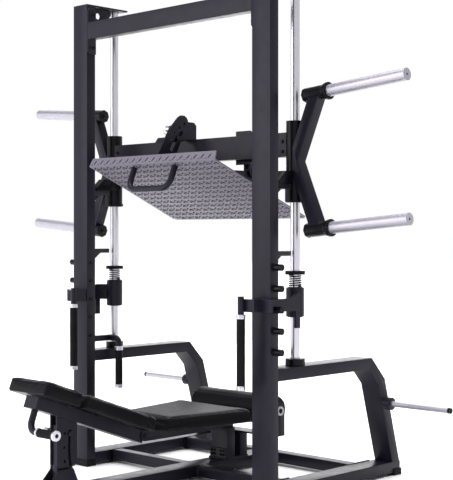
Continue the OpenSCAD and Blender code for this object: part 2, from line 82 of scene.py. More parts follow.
class Graph:
    """Small helper that adds and links shader nodes."""

    def __init__(self, name):
        self.mat = bpy.data.materials.new(name)
        self.mat.use_nodes = True
        self.tree = self.mat.node_tree
        self.shader = self.tree.nodes["Principled BSDF"]
        self.place = self.add("ShaderNodeTexCoord").outputs["Object"]

    def add(self, kind, **values):
        node = self.tree.nodes.new(kind)
        for key, value in values.items():
            setattr(node, key, value)
        return node

    def link(self, source, target):
        self.tree.links.new(source, target)

    def mapped(self, scale):
        node = self.add("ShaderNodeMapping")
        node.inputs["Scale"].default_value = scale
        self.link(self.place, node.inputs["Vector"])
        return node.outputs["Vector"]

    def noise(self, scale, detail=3.0, rough=0.55, where=None):
        node = self.add("ShaderNodeTexNoise")
        node.inputs["Scale"].default_value = scale
        node.inputs["Detail"].default_value = detail
        node.inputs["Roughness"].default_value = rough
        self.link(where or self.place, node.inputs["Vector"])
        return node.outputs["Fac"]

    def cells(self, scale, feature="F1", where=None):
        node = self.add("ShaderNodeTexVoronoi", feature=feature)
        node.inputs["Scale"].default_value = scale
        self.link(where or self.place, node.inputs["Vector"])
        return node.outputs["Distance"]

    def ramp(self, fac, low, high, at=(0.3, 0.7)):
        """Maps fac from the range at onto low..high."""
        node = self.add("ShaderNodeMapRange")
        node.inputs["From Min"].default_value = at[0]
        node.inputs["From Max"].default_value = at[1]
        node.inputs["To Min"].default_value = low
        node.inputs["To Max"].default_value = high
        self.link(fac, node.inputs["Value"])
        return node.outputs["Result"]

    def math(self, how, a, b):
        """Combines two sockets, or a socket and a number."""
        node = self.add("ShaderNodeMath", operation=how)
        for socket, value in zip(node.inputs, (a, b)):
            if isinstance(value, (int, float)):
                socket.default_value = value
            else:
                self.link(value, socket)
        return node.outputs["Value"]

    def mix(self, fac, a, b):
        """Blends two colours, each a socket or an RGB triple."""
        node = self.add("ShaderNodeMix", data_type="RGBA")
        self.link(fac, node.inputs["Factor"])
        for socket, value in ((node.inputs[6], a), (node.inputs[7], b)):
            if isinstance(value, tuple):
                socket.default_value = (*value, 1.0)
            else:
                self.link(value, socket)
        return node.outputs[2]

    def rounded(self, radius):
        """Normal that looks as if edges had this radius."""
        node = self.add("ShaderNodeBevel", samples=4)
        node.inputs["Radius"].default_value = radius
        return node.outputs["Normal"]

    def edges(self, radius):
        """About 1 on sharp edges and 0 on flat parts."""
        flat = self.add("ShaderNodeNewGeometry").outputs["Normal"]
        dot = self.add("ShaderNodeVectorMath", operation="DOT_PRODUCT")
        self.link(self.rounded(radius), dot.inputs[0])
        self.link(flat, dot.inputs[1])
        return self.ramp(dot.outputs["Value"], 1.0, 0.0, at=(0.90, 0.995))

    def bump(self, height, strength, distance, normal=None):
        node = self.add("ShaderNodeBump")
        node.inputs["Strength"].default_value = strength
        node.inputs["Distance"].default_value = distance
        self.link(height, node.inputs["Height"])
        if normal is not None:
            self.link(normal, node.inputs["Normal"])
        return node.outputs["Normal"]

    def finish(self, color, rough, normal, **fixed):
        """Links the three varying inputs and sets the even ones on their own sockets."""
        self.link(color, self.shader.inputs["Base Color"])
        self.link(rough, self.shader.inputs["Roughness"])
        self.link(normal, self.shader.inputs["Normal"])
        for key, value in fixed.items():
            self.shader.inputs[key.replace("_", " ")].default_value = value
        return self.mat


def shade(color, factor):
    return tuple(c * factor for c in color)


def powder_coat(name, base, worn, rough):
    """Satin powder coat: fine orange peel, slow tone changes and rubbed edges."""
    g = Graph(name)
    tone = g.mix(g.ramp(g.noise(7.0), 0, 1), shade(base, 0.88), shade(base, 1.12))
    rubbed = g.math("MULTIPLY", g.edges(0.0022), g.ramp(g.noise(38.0), 0.15, 0.75))
    color = g.mix(rubbed, tone, worn)
    gloss = g.math("SUBTRACT", g.ramp(g.noise(26.0), rough - 0.05, rough + 0.06),
                   g.math("MULTIPLY", rubbed, 0.12))
    peel = g.math("ADD", g.noise(1300.0, 2.0), g.math("MULTIPLY", g.noise(420.0, 1.0), 0.6))
    normal = g.bump(peel, 0.22, 0.00012, g.rounded(0.0016))
    return g.finish(color, gloss, normal, Specular_IOR_Level=0.14)


def chrome(name, base, rough, streak):
    """Bright plated steel with faint turning marks and slightly dulled patches."""
    g = Graph(name)
    tone = g.mix(g.ramp(g.noise(16.0), 0, 1), shade(base, 0.96), base)
    lines = g.noise(240.0, 3.0, where=g.mapped(streak))
    gloss = g.ramp(g.math("ADD", g.noise(30.0, 4.0), g.math("MULTIPLY", lines, 0.2)),
                   rough, rough + 0.06)
    normal = g.rounded(0.0008)
    return g.finish(tone, gloss, normal, Metallic=1.0)


def upholstery(name):
    """Matte black synthetic leather with a fine pebble grain and soft creases."""
    g = Graph(name)
    grain = g.cells(520.0, "SMOOTH_F1")
    crease = g.noise(24.0, 5.0, 0.62)
    tone = g.mix(g.ramp(crease, 0, 1), (0.0022, 0.0020, 0.0034), (0.0036, 0.0033, 0.0052))
    color = g.mix(g.ramp(grain, 0.0, 0.35, at=(0.1, 0.7)), tone, (0.0060, 0.0055, 0.0085))
    gloss = g.ramp(g.noise(46.0), 0.44, 0.50)
    height = g.math("ADD", g.math("MULTIPLY", grain, 0.8), g.math("MULTIPLY", crease, 0.5))
    normal = g.bump(height, 0.35, 0.00045)
    return g.finish(color, gloss, normal, Specular_IOR_Level=0.07, Sheen_Weight=0.02,
                    Sheen_Roughness=0.5)


def rubber(name, base, rough, grain_scale, strength):
    """Moulded rubber or plastic with a cellular grain."""
    g = Graph(name)
    tone = g.mix(g.ramp(g.noise(34.0), 0, 1), base, shade(base, 1.7))
    gloss = g.ramp(g.noise(60.0), rough - 0.06, rough + 0.08)
    normal = g.bump(g.cells(grain_scale), strength, 0.0003, g.rounded(0.0012))
    return g.finish(tone, gloss, normal, Specular_IOR_Level=0.10)


def tread_paint(name, base):
    """Light silver-grey coat of the tread plate, with darker dusty patches."""
    g = Graph(name)
    tone = g.mix(g.ramp(g.noise(9.0), 0, 1), shade(base, 0.93), base)
    dusty = g.mix(g.ramp(g.noise(90.0, 4.0), 0.0, 0.25), tone, shade(base, 0.7))
    gloss = g.ramp(g.noise(40.0), 0.40, 0.54)
    normal = g.bump(g.noise(900.0, 2.0), 0.25, 0.00015, g.rounded(0.001))
    return g.finish(dusty, gloss, normal, Metallic=0.2, Specular_IOR_Level=0.3)


def thread(name):
    """Twisted sewing thread."""
    g = Graph(name)
    tone = g.mix(g.ramp(g.noise(300.0), 0, 1), (0.020, 0.020, 0.022), (0.045, 0.045, 0.048))
    twist = g.noise(1500.0, 1.0, where=g.mapped((1.0, 1.0, 0.3)))
    return g.finish(tone, g.ramp(g.noise(200.0), 0.55, 0.75), g.bump(twist, 0.4, 0.0002))


COAT = powder_coat("charcoal_coat", (0.0105, 0.0092, 0.0162), (0.046, 0.042, 0.058), 0.33)
BLACK = powder_coat("black_coat", (0.0026, 0.0023, 0.0040), (0.016, 0.015, 0.021), 0.32)
CHROME = chrome("polished_chrome", (0.56, 0.55, 0.60), 0.27, (1.0, 1.0, 0.02))
SATIN = chrome("satin_chrome", (0.43, 0.42, 0.47), 0.42, (0.02, 1.0, 1.0))
ZINC = chrome("zinc_plate", (0.62, 0.62, 0.64), 0.26, (1.0, 1.0, 1.0))
LEATHER = upholstery("black_upholstery")
THREAD = thread("black_thread")
GRIP = rubber("grip_rubber", (0.004, 0.004, 0.0046), 0.55, 700.0, 0.35)
FOOT = rubber("foot_rubber", (0.005, 0.005, 0.0056), 0.60, 420.0, 0.25)
PLASTIC = rubber("bearing_plastic", (0.012, 0.012, 0.013), 0.38, 900.0, 0.10)
TREAD = tread_paint("tread_plate", (0.150, 0.141, 0.178))
LUG = powder_coat("tread_lugs", (0.0045, 0.0042, 0.0060), (0.016, 0.015, 0.019), 0.45)

SLOT_MATERIAL = {
    "frame_coat": COAT, "black_coat": BLACK, "chromed_steel": CHROME, "spring_steel": ZINC,
    "bushing_plastic": PLASTIC, "upholstery": LEATHER, "grip_rubber": GRIP,
    "black_rubber": FOOT, "tread_plate": TREAD,
}
NODE_SLOT = {s["node"]: s["material_slot"] for s in frame["record"]["subparts"]}


def dress(obj, material, smooth=True, angle=35.0):
    """Gives an object one material, and smooth shading up to an edge angle in degrees."""
    obj.data.materials.clear()
    obj.data.materials.append(material)
    if smooth:
        for polygon in obj.data.polygons:
            polygon.use_smooth = True
        obj.data.set_sharp_from_angle(angle=math.radians(angle))


for node_name, node_obj in NODES.items():
    dress(node_obj, SLOT_MATERIAL[NODE_SLOT[node_name]], smooth=False)
for node_name in ("weight_horns", "horn_caps", "storage_pegs"):
    dress(NODES[node_name], SATIN, smooth=False)


# ------------------------------------------------------------------ mesh helpers

def body_of(node):
    return NODES[node]["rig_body"]


def new_object(name, mesh, material, node, smooth=True, angle=35.0):
    """Links a mesh as a piece that rides on the body of a CAD node."""
    obj = bpy.data.objects.new(name, mesh)
    SCENE.collection.objects.link(obj)
    dress(obj, material, smooth, angle)
    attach(obj, body_of(node))
    return obj


def mesh_from(bm, name):
    """Turns the bmesh into a mesh, with its faces outward, and frees it."""
    bmesh.ops.recalc_face_normals(bm, faces=bm.faces)
    mesh = bpy.data.meshes.new(name)
    bm.to_mesh(mesh)
    bm.free()
    return mesh


def apply_modifiers(obj):
    graph = bpy.context.evaluated_depsgraph_get()
    mesh = bpy.data.meshes.new_from_object(obj.evaluated_get(graph))
    obj.modifiers.clear()
    obj.data = mesh


def axis_matrix(origin, along, up=(0, 0, 1)):
    """Frame whose Z runs along the given direction."""
    z = Vector(along).normalized()
    x = Vector(up).cross(z)
    if x.length < 1e-6:
        x = Vector((1, 0, 0))
    x.normalize()
    y = z.cross(x)
    return Matrix.Translation(origin) @ Matrix((x, y, z)).transposed().to_4x4()


def add_lathe(bm, profile, matrix, steps=40):
    """Adds a turned body: profile is (radius, height) in metres along the matrix's Z."""
    rings = []
    for radius, height in profile:
        if radius < 1e-6:
            rings.append([bm.verts.new(matrix @ Vector((0, 0, height)))])
            continue
        rings.append([
            bm.verts.new(matrix @ Vector((
                radius * math.cos(2 * math.pi * k / steps),
                radius * math.sin(2 * math.pi * k / steps), height)))
            for k in range(steps)])
    for low, high in zip(rings, rings[1:]):
        for k in range(steps):
            n = (k + 1) % steps
            corners = [low[k % len(low)], low[n % len(low)], high[n % len(high)],
                       high[k % len(high)]]
            unique = list(dict.fromkeys(corners))
            if len(unique) > 2:
                bm.faces.new(unique)


def closed(profile):
    """Profile with its two ends run in to the axis."""
    return [(0, profile[0][1])] + profile + [(0, profile[-1][1])]


def rounded_rod(radius, low, high, edge):
    """Profile of a solid rod with softly rounded ends."""
    quarter = [math.pi / 2 * k / 4 for k in range(5)]
    inner = radius - edge
    points = [(inner + edge * math.sin(a), low + edge - edge * math.cos(a)) for a in quarter]
    points += [(inner + edge * math.cos(a), high - edge + edge * math.sin(a)) for a in quarter]
    return closed(points)


def add_tube(bm, points, radius, sides=8, loop=False):
    """Sweeps a round section along points, with flat ends unless it is a loop."""
    count = len(points)
    rings = []
    side = None
    for k, point in enumerate(points):
        before = points[k - 1] if (loop or k) else point
        after = points[(k + 1) % count] if (loop or k < count - 1) else point
        ahead = (after - before).normalized()
        if side is None:
            side = ahead.orthogonal().normalized()
        side = (side - ahead * side.dot(ahead)).normalized()
        other = ahead.cross(side)
        rings.append([
            bm.verts.new(point + radius * (math.cos(a) * side + math.sin(a) * other))
            for a in (2 * math.pi * j / sides for j in range(sides))])
    pairs = list(zip(rings, rings[1:]))
    if loop:
        pairs.append((rings[-1], rings[0]))
    shift = 0
    for index, (low, high) in enumerate(pairs):
        if loop and index == len(pairs) - 1:
            shift = min(range(sides), key=lambda s: (low[0].co - high[s].co).length)
        for j in range(sides):
            n = (j + 1) % sides
            bm.faces.new((low[j], low[n], high[(n + shift) % sides],
                          high[(j + shift) % sides]))
    if not loop:
        bm.faces.new(list(reversed(rings[0])))
        bm.faces.new(rings[-1])


def add_hex_bolt(bm, origin, along, across, height):
    """Washer and hexagon head with a domed chamfer."""
    m = axis_matrix(origin, along)
    washer = 0.16 * height
    add_lathe(bm, closed([(across * 0.62, 0), (across * 0.62, washer)]), m, 28)
    half = across / math.sqrt(3)
    add_lathe(bm, closed([(half, washer), (half, height * 0.82), (half * 0.84, height)]),
              m, 6)


def cad_copy(name, node):
    """A free copy of a CAD node's mesh, welded and with its flat faces merged."""
    mesh = NODES[node].data.copy()
    bm = bmesh.new()
    bm.from_mesh(mesh)
    bmesh.ops.remove_doubles(bm, verts=bm.verts, dist=0.00002)
    bmesh.ops.dissolve_limit(bm, angle_limit=math.radians(0.6), verts=bm.verts,
                             edges=bm.edges)
    bm.to_mesh(mesh)
    bm.free()
    mesh.name = name
    return mesh


def soften(node, width, angle=40.0):
    """Replaces a CAD node by a copy whose edges sharper than the angle are rolled."""
    obj = new_object(node + "_finished", cad_copy(node + "_finished", node),
                     SLOT_MATERIAL[NODE_SLOT[node]], node)
    bevel = obj.modifiers.new("rolled_edges", "BEVEL")
    bevel.width = width
    bevel.segments = 3
    bevel.limit_method = "ANGLE"
    bevel.angle_limit = math.radians(angle)
    bevel.use_clamp_overlap = True
    bevel.harden_normals = False
    bevel.miter_outer = "MITER_ARC"
    apply_modifiers(obj)
    for polygon in obj.data.polygons:
        polygon.use_smooth = True
    obj.data.set_sharp_from_angle(angle=math.radians(42))
    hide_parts(node)
    return obj


TUBE_EDGE = 4.5 * MM
CROSSBAR_EDGE = 3 * MM
PLATE_EDGE = 1.2 * MM
SOLE_EDGE = 2.2 * MM
soften("crossbar", CROSSBAR_EDGE)
for tube in ("base_rail_left", "base_rail_right", "cross_tube_front", "cross_tube_rear",
             "centre_beam", "upright_left", "upright_right", "side_frame_left",
             "side_frame_right"):
    soften(tube, TUBE_EDGE)
for plate in ("seat_beam", "seat_posts", "backrest_post", "roller_bracket", "rubber_feet",
              "top_plates", "rest_hook_left", "rest_hook_right"):
    soften(plate, PLATE_EDGE)
soften("foot_plate", SOLE_EDGE)


# How far the narrow faces of a weight arm's bars lean towards X
BAR_LEAN = 0.922


def dark_hubs(obj):
    """The faces of a weight arm off its bars' flat sides, chiefly the turned hubs, take the
    black material, and its bars charcoal.
    """
    obj.data.materials.append(BLACK)
    for polygon in obj.data.polygons:
        n = polygon.normal
        broad_side = abs(n.y) > 0.999
        narrow_side = abs(n.y) < 1e-3 and abs(abs(n.x) - BAR_LEAN) < 0.03
        if not (broad_side or narrow_side):
            polygon.material_index = 1


for side_name in SIDES:
    dark_hubs(soften("weight_arm_" + side_name, PLATE_EDGE, angle=50))


# ------------------------------------------------------------------ camera, light, floor

# The lens and its small upward shift, both for a picture 480 units high
PICTURE = 480
FOCAL = 1205.38
SHIFT = -6.68
SENSOR_MM = 36
camera_data = bpy.data.cameras.new("camera")
camera = bpy.data.objects.new("camera", camera_data)
SCENE.collection.objects.link(camera)
camera.location = (3.8845, FRONT_Y - 3.6135, 1.0971)
camera.rotation_euler = (math.pi / 2, 0, math.radians(44.09))
camera_data.sensor_fit = "AUTO"
camera_data.sensor_width = SENSOR_MM
camera_data.lens = FOCAL / PICTURE * SENSOR_MM
camera_data.shift_y = SHIFT / PICTURE
camera_data.clip_end = 100
SCENE.camera = camera


def area_light(name, place, target, size, power, color):
    """Rectangular lamp in watts, aimed at a point."""
    data = bpy.data.lights.new(name, "AREA")
    data.shape = "RECTANGLE"
    data.size, data.size_y = size
    data.energy = power
    data.color = color
    obj = bpy.data.objects.new(name, data)
    SCENE.collection.objects.link(obj)
    obj.location = place
    obj.rotation_euler = (Vector(target) - Vector(place)).to_track_quat("-Z", "Y").to_euler()


area_light("key", (-2.8, -5.6, 3.0), (0, 0, 1.0), (5.0, 4.4), 230, (0.985, 0.97, 1.0))
area_light("back_panel", (-4.3, 4.7, 2.9), (0, 0, 0.8), (5.5, 3.6), 150, (0.97, 0.965, 1.0))
area_light("top", (0, 0.2, 5.4), (0, 0, 0), (3.2, 3.2), 60, (0.98, 0.97, 1.0))
overhead = bpy.data.lights.new("overhead", "SUN")
overhead.energy = 3.2
overhead.angle = math.radians(70)
overhead_lamp = bpy.data.objects.new("overhead", overhead)
overhead_lamp.location = (0, 0, 6)
SCENE.collection.objects.link(overhead_lamp)


def studio_world():
    """A studio dome: white walls round the horizon, dimmer above them, brighter overhead."""
    world = bpy.data.worlds.new("studio")
    SCENE.world = world
    world.use_nodes = True
    tree = world.node_tree
    dome = tree.nodes["Background"]
    direction = tree.nodes.new("ShaderNodeTexCoord")
    split = tree.nodes.new("ShaderNodeSeparateXYZ")
    tree.links.new(direction.outputs["Generated"], split.inputs["Vector"])
    bands = tree.nodes.new("ShaderNodeValToRGB")
    tree.links.new(split.outputs["Z"], bands.inputs["Fac"])
    tree.links.new(bands.outputs["Color"], dome.inputs["Color"])
    dome.inputs["Strength"].default_value = 1.005
    stops = bands.color_ramp.elements
    stops[0].position, stops[0].color = 0.235, (1.0, 1.0, 1.0, 1.0)
    stops[1].position, stops[1].color = 0.38, (0.30, 0.295, 0.31, 1.0)
    for at, level in ((0.70, 0.35), (0.92, 0.9)):
        stops.new(at).color = (level, level * 0.985, level * 1.02, 1.0)


def pale_floor():
    """A wide disc just under the feet."""
    bm = bmesh.new()
    bmesh.ops.create_circle(bm, cap_ends=True, radius=40, segments=96)
    floor = bpy.data.objects.new("floor", mesh_from(bm, "floor"))
    SCENE.collection.objects.link(floor)
    g = Graph("pale_floor")
    tone = g.mix(g.ramp(g.noise(1.5), 0, 1), (0.945, 0.945, 0.945), (0.965, 0.965, 0.965))
    g.finish(tone, g.ramp(g.noise(4.0), 0.55, 0.65), g.bump(g.noise(200.0), 0.05, 0.0002))
    floor.data.materials.append(g.mat)
    floor.location.z = -0.0005


studio_world()
pale_floor()


# ------------------------------------------------------------------ upholstery

# Simulated frames of a cushion, its pressure, and the height that its board holds still
CLOTH_FRAMES = 20
CLOTH_PRESSURE = 3.2
BOARD_BAND = 0.007


def stuffed(name, node, up, inset, swell, voxel=0.006):
    """Cushion from a CAD solid: drawn in a little, blown up as cloth over a flat board."""
    up = Vector(up).normalized()
    obj = new_object(name, cad_copy(name, node), LEATHER, node)
    remesh = obj.modifiers.new("remesh", "REMESH")
    remesh.mode = "VOXEL"
    remesh.voxel_size = voxel
    apply_modifiers(obj)
    smooth = obj.modifiers.new("smooth", "SMOOTH")
    smooth.factor = 0.5
    smooth.iterations = 7
    apply_modifiers(obj)
    mesh = obj.data
    shrunk = [v.co - v.normal * inset for v in mesh.vertices]
    for v, co in zip(mesh.vertices, shrunk):
        v.co = co
    board_level = min(v.co.dot(up) for v in mesh.vertices)
    before = [v.co.copy() for v in mesh.vertices]
    pins = obj.vertex_groups.new(name="board")
    pins.add([v.index for v in mesh.vertices
              if v.co.dot(up) < board_level + BOARD_BAND], 1.0, "REPLACE")
    cloth = obj.modifiers.new("cloth", "CLOTH")
    settings = cloth.settings
    settings.use_pressure = True
    settings.uniform_pressure_force = CLOTH_PRESSURE
    settings.effector_weights.gravity = 0
    settings.vertex_group_mass = "board"
    settings.tension_stiffness = 22
    settings.compression_stiffness = 22
    settings.bending_stiffness = 1.2
    settings.quality = 5
    SCENE.frame_start = 1
    SCENE.frame_end = CLOTH_FRAMES
    for step in range(1, CLOTH_FRAMES + 1):
        SCENE.frame_set(step)
    apply_modifiers(obj)
    SCENE.frame_set(1)
    mesh = obj.data
    for v, old in zip(mesh.vertices, before):
        moved = v.co - old
        if moved.length > swell:
            v.co = old + moved * (swell / moved.length)
    obj.vertex_groups.clear()
    polish = obj.modifiers.new("polish", "SMOOTH")
    polish.factor = 0.5
    polish.iterations = 3
    finer = obj.modifiers.new("finer", "SUBSURF")
    finer.levels = 1
    apply_modifiers(obj)
    dress(obj, LEATHER, angle=80)
    obj.parent = None
    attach(obj, body_of(node))
    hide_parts(node)
    return obj


# Depth of the seam under the pad's crown, the gap up to the stitches, and their pitch
SEAM_DROP = 0.015
STITCH_GAP = 0.0075
STITCH_PITCH = 0.0065


def seam_and_stitches(name, pad, node, up):
    """Piped seam round the pad's side, and a row of stitches just above it."""
    up = Vector(up).normalized()
    right = Vector((1, 0, 0))
    ahead = up.cross(right).normalized()
    verts = [v.co for v in pad.data.vertices]
    top = max(v.dot(up) for v in verts)
    xs = [v.dot(right) for v in verts]
    ys = [v.dot(ahead) for v in verts]
    centre = Vector(((max(xs) + min(xs)) / 2, (max(ys) + min(ys)) / 2))
    reach = 0.6
    bvh = BVHTree.FromObject(pad, bpy.context.evaluated_depsgraph_get())

    def ring(height, count=720):
        """Points and normals round the pad at a height, found by rays from outside."""
        found = []
        for k in range(count):
            a = 2 * math.pi * k / count
            inward = -(math.cos(a) * right + math.sin(a) * ahead)
            start = (centre.x * right + centre.y * ahead + height * up) - inward * reach
            hit, normal, _, _ = bvh.ray_cast(start, inward)
            if hit is not None:
                found.append((hit, normal))
        return found

    def resampled(points, step):
        """The same ring with a point every step along it."""
        out = [points[0]]
        gone = 0.0
        for (p, n), (q, m) in zip(points, points[1:] + points[:1]):
            length = (q - p).length
            while gone + length >= step:
                t = (step - gone) / length
                p = p.lerp(q, t)
                out.append((p, n.lerp(m, t).normalized()))
                length = (q - p).length
                gone = 0.0
            gone += length
        return out

    bm = bmesh.new()
    loop = resampled(ring(top - SEAM_DROP), 0.006)
    add_tube(bm, [p + n * 0.0004 for p, n in loop][:-1], 0.0021, 8, loop=True)
    new_object(name + "_piping", mesh_from(bm, name + "_piping"), LEATHER, node)
    bm = bmesh.new()
    loop = resampled(ring(top - SEAM_DROP + STITCH_GAP), STITCH_PITCH / 2)
    for index in range(0, len(loop) - 2, 2):
        p, n = loop[index]
        q, m = loop[index + 1]
        middle = (p + q) / 2 + (n + m) * 0.0004
        add_tube(bm, [p - n * 0.0003, p + n * 0.0004, middle, q + m * 0.0004,
                      q - m * 0.0003], 0.00045, 5)
    new_object(name + "_stitching", mesh_from(bm, name + "_stitching"), THREAD, node)


SEAT_UP = (0, 0, 1)
BACK_SLOPE = math.radians(20)
BACK_UP = (0, math.sin(BACK_SLOPE), math.cos(BACK_SLOPE))
seat = stuffed("seat_cushion", "seat_pad", SEAT_UP, 0.0045, 0.007)
seam_and_stitches("seat_cushion", seat, "seat_pad", SEAT_UP)
back = stuffed("back_cushion", "back_pad", BACK_UP, 0.0045, 0.007)
seam_and_stitches("back_cushion", back, "back_pad", BACK_UP)
head = stuffed("head_cushion", "head_pad", BACK_UP, 0.0040, 0.006, voxel=0.005)
seam_and_stitches("head_cushion", head, "head_pad", BACK_UP)


BOARD_THICK = 0.012
BOARD_CORNER = 0.022
BOARD_CHAMFER = 0.0015


def base_board(name, node, origin, ahead, up, outline):
    """Painted board on which a cushion is upholstered; outline in plan, metres."""
    right = Vector((1, 0, 0))
    bm = bmesh.new()
    rounded = []
    count = len(outline)
    for k in range(count):
        corner, before, after = (Vector(outline[(k + d) % count]) for d in (0, -1, 1))
        start = corner + (before - corner).normalized() * BOARD_CORNER
        end = corner + (after - corner).normalized() * BOARD_CORNER
        for t in (0, 0.25, 0.5, 0.75, 1):
            rounded.append(start.lerp(corner, t).lerp(corner.lerp(end, t), t))
    rows = []
    for height, inset in ((0, BOARD_CHAMFER), (BOARD_CHAMFER, 0),
                          (BOARD_THICK - BOARD_CHAMFER, 0), (BOARD_THICK, BOARD_CHAMFER)):
        scale = 1 - inset / 0.15
        rows.append([bm.verts.new(origin + right * q.x * scale + ahead * q.y + up * height)
                     for q in rounded])
    for low_row, high_row in zip(rows, rows[1:]):
        for k in range(len(rounded)):
            n = (k + 1) % len(rounded)
            bm.faces.new((low_row[k], low_row[n], high_row[n], high_row[k]))
    bm.faces.new(rows[-1])
    bm.faces.new(list(reversed(rows[0])))
    new_object(name, mesh_from(bm, name), BLACK, node, angle=30)


def base_boards():
    """Boards under the head, back and seat cushions."""
    up = Vector(BACK_UP)
    ahead = Vector((0, math.cos(BACK_SLOPE), -math.sin(BACK_SLOPE)))
    origin = Vector((0, FRONT_Y, 0)) + up * 0.1845
    for name, node, low, high, front, rear in (
            ("head_board", "head_pad", -0.858, -0.673, 0.124, 0.130),
            ("back_board", "back_pad", -0.651, -0.273, 0.131, 0.158)):
        base_board(name, node, origin, ahead, up,
                   ((-front, low), (front, low), (rear, high), (-rear, high)))
    seat_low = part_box("seat_pad")[0]
    base_board("seat_board", "seat_pad", Vector((0, FRONT_Y, seat_low.z + 0.0005)),
               Vector((0, 1, 0)), Vector((0, 0, 1)),
               ((-0.166, -0.118), (0.166, -0.118), (0.234, 0.323), (-0.234, 0.323)))


base_boards()


def roller_cushion():
    """Foam roller: crowned sleeve with gathered ends and a seam along its back."""
    low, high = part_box("hip_roller")
    centre = (low + high) / 2
    half = (high.x - low.x) / 2
    radius = (high.z - low.z) / 2
    hole = 0.0092
    profile = [(hole, -half + 0.004), (radius * 0.55, -half + 0.001),
               (radius * 0.80, -half + 0.0015)]
    for k in range(1, 9):
        a = math.pi / 2 * k / 8
        profile.append((radius * 0.80 + radius * 0.19 * math.sin(a),
                        -half + 0.0015 + 0.016 * (1 - math.cos(a))))
    for k in range(1, 24):
        t = -1 + 2 * k / 24
        profile.append((radius * (0.99 + 0.009 * (1 - t * t)), t * (half - 0.018)))
    profile += [(r, -z) for r, z in reversed(profile[:11])]
    profile += [(hole, half - 0.02), (hole, -half + 0.02), profile[0]]
    m = axis_matrix(centre, (1, 0, 0))
    bm = bmesh.new()
    add_lathe(bm, profile, m, 96)
    bmesh.ops.remove_doubles(bm, verts=bm.verts, dist=1e-6)
    inverse = m.inverted()
    for v in bm.verts:
        p = inverse @ v.co
        r = math.hypot(p.x, p.y)
        if r > radius * 0.5:
            a = math.atan2(p.y, p.x)
            end = max(0.0, abs(p.z) / half - 0.72) / 0.28
            ripple = 0.0007 * math.sin(11 * a + 2.2 * math.sin(3 * a)) * end * end
            slack = 0.0005 * math.sin(5 * a + p.z * 24) - 0.0008
            seam = -0.0016 * math.exp(-((a - 2.2) / 0.045) ** 2)
            scale = (r + ripple + slack + seam) / r
            v.co = m @ Vector((p.x * scale, p.y * scale, p.z))
    obj = new_object("roller_cushion", mesh_from(bm, "roller_cushion"), LEATHER,
                     "hip_roller", angle=60)
    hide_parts("hip_roller")


roller_cushion()


# ------------------------------------------------------------------ grips

def grip_profile(length, radius):
    """Ribbed rubber sleeve with plain bands at both ends."""
    points = [(radius - 0.002, 0), (radius - 0.0004, 0.0012), (radius - 0.0004, 0.009)]
    ribs = int((length - 0.024) / 0.004)
    for k in range(ribs):
        z = 0.012 + (length - 0.024) * k / ribs
        step = (length - 0.024) / ribs
        points += [(radius - 0.0011, z), (radius - 0.0002, z + step * 0.25),
                   (radius - 0.0002, z + step * 0.7)]
    points += [(radius - 0.0004, length - 0.009), (radius - 0.0004, length - 0.0012),
               (radius - 0.002, length)]
    return closed(points)


def ring_profile(low, high, radius):
    """Turned collar with a groove round its middle."""
    middle = (low + high) / 2
    floor_radius = radius - 0.0009
    rod = rounded_rod(radius, low, high, 0.0012)
    groove = [(radius, middle - 0.0022), (floor_radius, middle - 0.0014),
              (floor_radius, middle + 0.0014), (radius, middle + 0.0022)]
    return rod[:6] + groove + rod[6:]


# Radii of the rubber sleeves and of the bright collars on every grip
SLEEVE_RADIUS = 0.018
COLLAR_RADIUS = 0.0195


def grip_set(node, starts, along, spans, cap_radius=COLLAR_RADIUS):
    """Grips of a CAD node: spans are collar, sleeve and end cap along the axis."""
    rubber_bm, metal_bm = bmesh.new(), bmesh.new()
    collar, sleeve, cap = spans
    for start in starts:
        m = axis_matrix(start, along)
        shifted = m @ Matrix.Translation((0, 0, sleeve[0]))
        add_lathe(rubber_bm, grip_profile(sleeve[1] - sleeve[0], SLEEVE_RADIUS), shifted, 40)
        add_lathe(metal_bm, ring_profile(*collar, COLLAR_RADIUS), m, 44)
        add_lathe(metal_bm, rounded_rod(cap_radius, *cap, 0.002), m, 44)
        add_lathe(rubber_bm, closed([(0.0085, cap[1] - 0.001), (0.0085, cap[1] + 0.00005)]),
                  m, 24)
    sleeve_obj = new_object(node + "_sleeves", mesh_from(rubber_bm, node + "_sleeves"),
                            GRIP, node)
    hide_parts(node)
    new_object(node + "_rings", mesh_from(metal_bm, node + "_rings"), CHROME, node)


def grip_tops(node):
    """Centres of the upper ends of the vertical grips in a node, left and right."""
    low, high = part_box(node)
    y = (low.y + high.y) / 2
    if high.x - low.x > 0.5:
        return [Vector((low.x + COLLAR_RADIUS, y, high.z)),
                Vector((high.x - COLLAR_RADIUS, y, high.z))]
    return [Vector(((low.x + high.x) / 2, y, high.z))]


grip_set("hand_grips", grip_tops("hand_grips"), (0, 0, -1),
         ((0, 0.019), (0.019, 0.181), (0.181, 0.198)))
for side_name in SIDES:
    grip_set("stop_grip_" + side_name, grip_tops("stop_grip_" + side_name), (0, 0, -1),
             ((0, 0.017), (0.017, 0.288), (0.288, 0.306)))
lever_low, lever_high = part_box("lever_grip")
lever_start = Vector((lever_low.x, (lever_low.y + lever_high.y) / 2,
                      (lever_low.z + lever_high.z) / 2))
grip_set("lever_grip", [lever_start], (1, 0, 0),
         ((0, 0.010), (0.010, 0.108), (0.108, 0.120)), cap_radius=0.021)


# ------------------------------------------------------------------ tread plate

# Offsets across and down the plate, slant and length of the lugs in one cell of the tread
CLUSTER = ((-0.008, -0.004, -0.75, 0.038), (0.011, 0.006, 1.35, 0.027),
           (-0.006, 0.0135, 1.35, 0.014))
# Outline of a lug as shares of its half length and half width
LUG_OUTLINE = ((-1, 0), (-0.55, 0.8), (0, 1), (0.55, 0.8), (1, 0), (0.55, -0.8), (0, -1),
               (-0.55, -0.8))
PLATE_SLOPE = math.radians(23)
PLATE_LENGTH = 0.608
TREAD_COLUMNS = 18
TREAD_ROWS = 13


